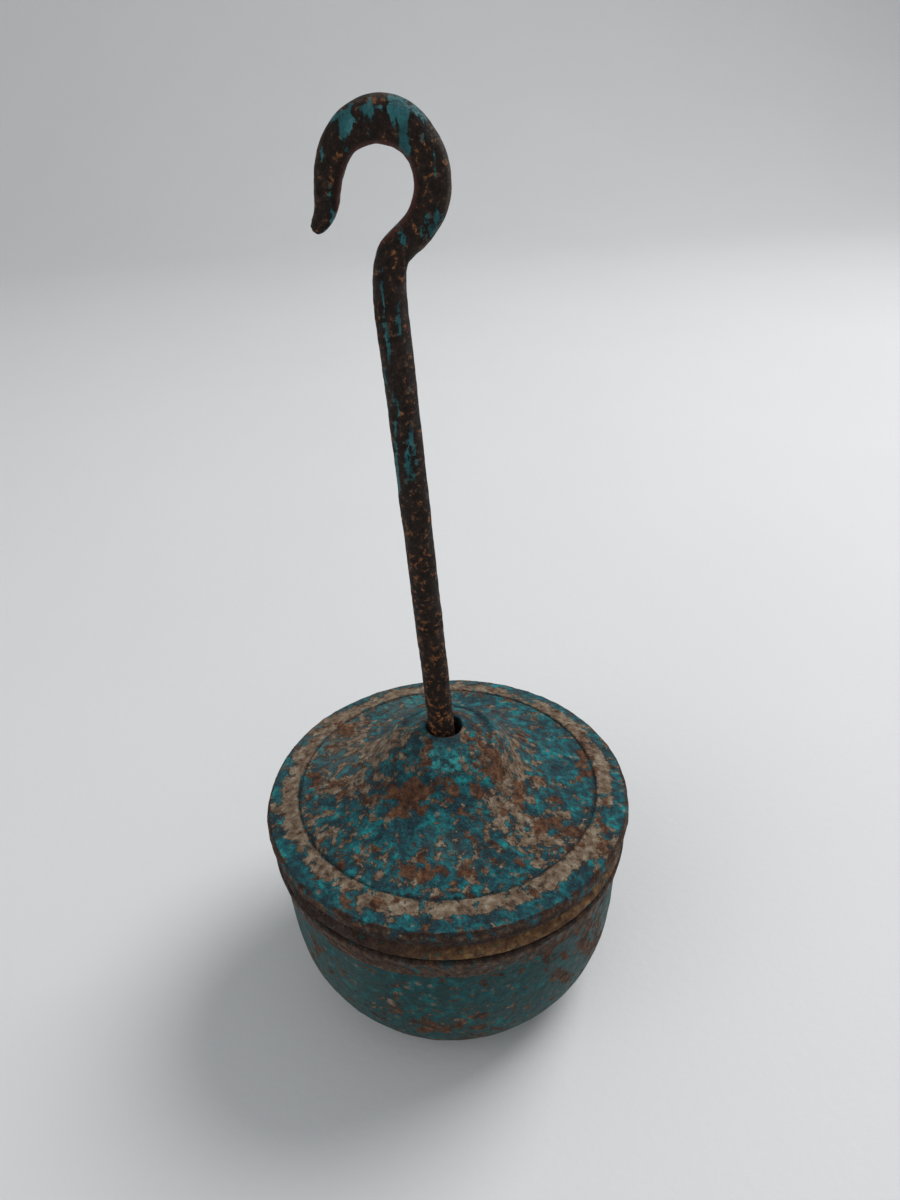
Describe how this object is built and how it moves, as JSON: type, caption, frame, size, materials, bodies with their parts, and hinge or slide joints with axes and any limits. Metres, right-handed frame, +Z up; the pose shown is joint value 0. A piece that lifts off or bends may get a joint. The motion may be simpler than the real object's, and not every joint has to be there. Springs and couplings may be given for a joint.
{
  "type": "lamp counterweight",
  "caption": "Round-bottomed iron counterweight with a bell-shaped lid that lifts along a swivelling hooked rod, over slotted ballast discs.",
  "frame": {"origin": "centre of the foot ring, on the surface that the weight stands on", "axes": "+Z up along the bowl's axis; the hook's plane lies along X, its open side towards -X"},
  "size_m": [0.08, 0.08, 0.1874],
  "materials": {
    "painted_casting": "worn teal paint over rusty cast iron, satin",
    "rusty_rod": "dark forged iron with orange rust and traces of teal paint",
    "fastener_iron": "rusty iron",
    "ballast_iron": "rough unpainted casting, dull"
  },
  "bodies": {
    "bowl": {"bowl": "painted_casting", "ballast_disc_1": "ballast_iron", "ballast_disc_2": "ballast_iron", "ballast_disc_3": "ballast_iron", "ballast_disc_4": "ballast_iron"},
    "rod": {"hook_rod": "rusty_rod", "foot_washer": "fastener_iron", "foot_nut": "fastener_iron"},
    "lid": {"lid": "painted_casting"}
  },
  "joints": [
    {"name": "hook_swivel", "type": "hinge", "parent": "bowl", "child": "rod", "pos_m": [-0.0006, 0.0003, 0.0693], "axis": [-0.0523, 0.0087, 0.9986], "continuous": true},
    {"name": "lid_lift", "type": "slide", "parent": "bowl", "child": "lid", "axis": [-0.0523, 0.0087, 0.9986], "range_m": [0, 0.085]}
  ]
}
